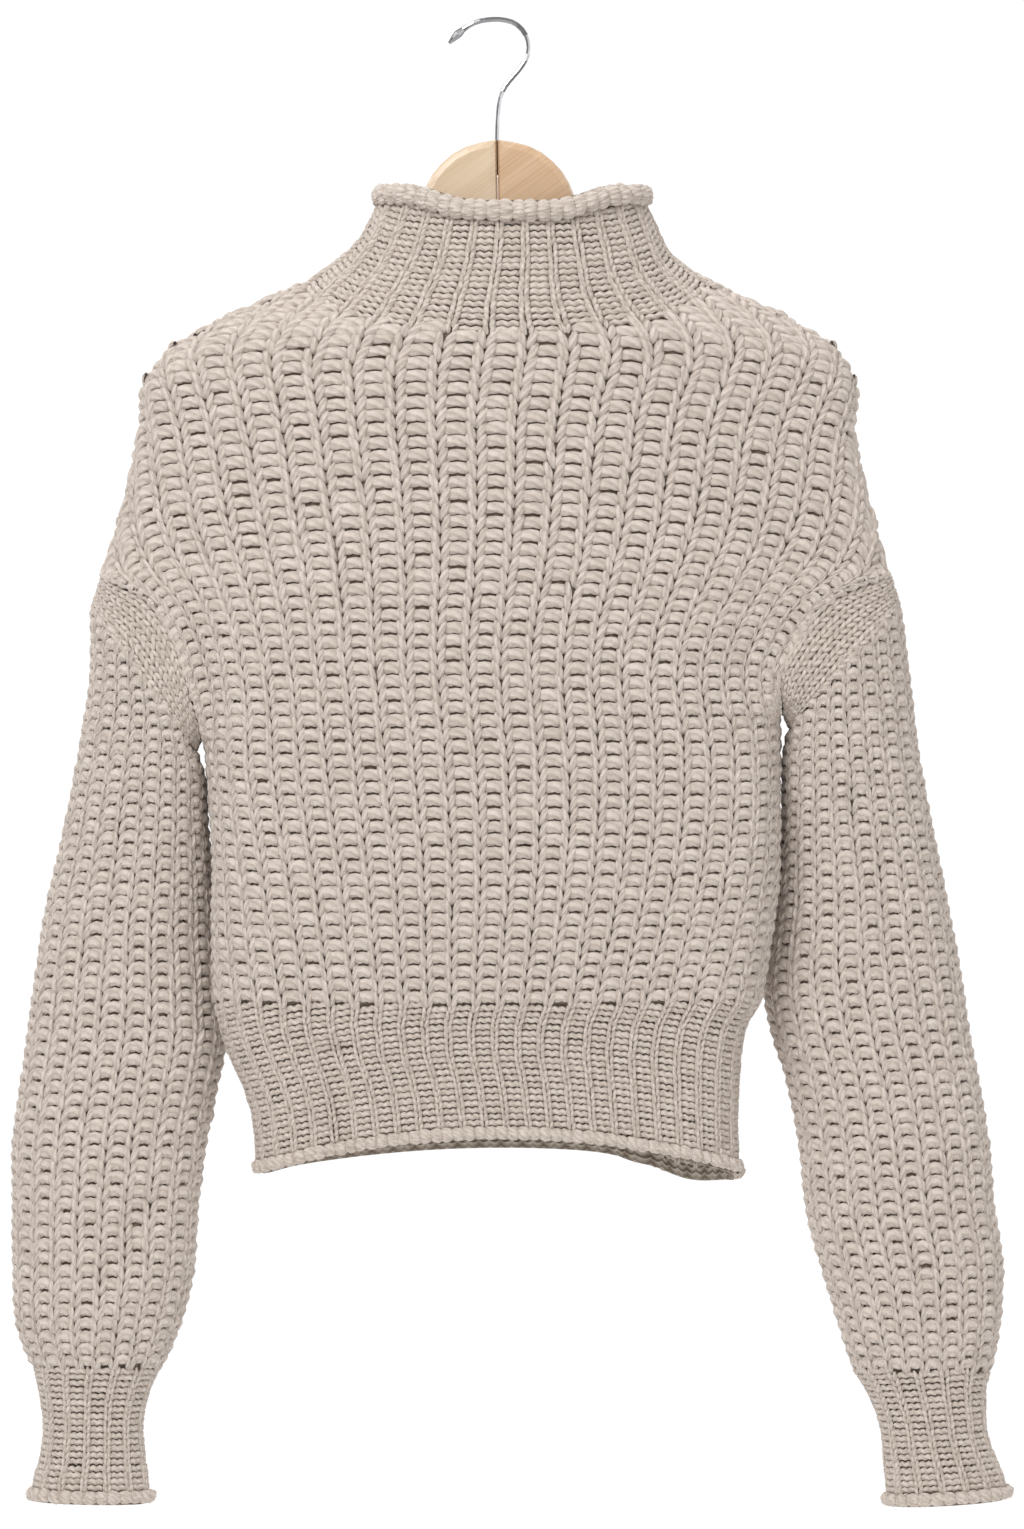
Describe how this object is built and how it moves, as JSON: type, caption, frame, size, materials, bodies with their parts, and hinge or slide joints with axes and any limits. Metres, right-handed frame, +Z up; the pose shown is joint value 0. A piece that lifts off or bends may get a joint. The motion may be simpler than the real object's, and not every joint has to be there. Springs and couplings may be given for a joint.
{
  "type": "chunky ribbed mock neck sweater on a wooden hanger with a chrome hook",
  "caption": "Cropped chunky rib knit sweater with balloon sleeves and rolled edges, hanging open on a flat wooden hanger with a wire hook.",
  "frame": {"origin": "underside of the top of the hook, the point a rail carries", "axes": "+Z up, the garment's front faces -Y, +X towards the wearer's left"},
  "size_m": [0.6438, 0.128, 0.9539],
  "materials": {
    "beige_yarn": "matt chunky half-cardigan rib knit",
    "beige_rib_yarn": "matt fine 1x1 rib and plain knit",
    "beech_left": "satin varnish, warmer half",
    "beech_right": "satin varnish, paler half",
    "chrome_wire": "bright polished"
  },
  "bodies": {
    "root": {"front": "beige_yarn", "back": "beige_yarn", "sleeve_left": "beige_yarn", "sleeve_right": "beige_yarn", "armhole_band_left": "beige_rib_yarn", "armhole_band_right": "beige_rib_yarn", "cuff_left": "beige_rib_yarn", "cuff_right": "beige_rib_yarn", "hem_front": "beige_rib_yarn", "hem_back": "beige_rib_yarn", "collar": "beige_rib_yarn", "hanger_left": "beech_left", "hanger_right": "beech_right", "hook": "chrome_wire"}
  },
  "joints": []
}
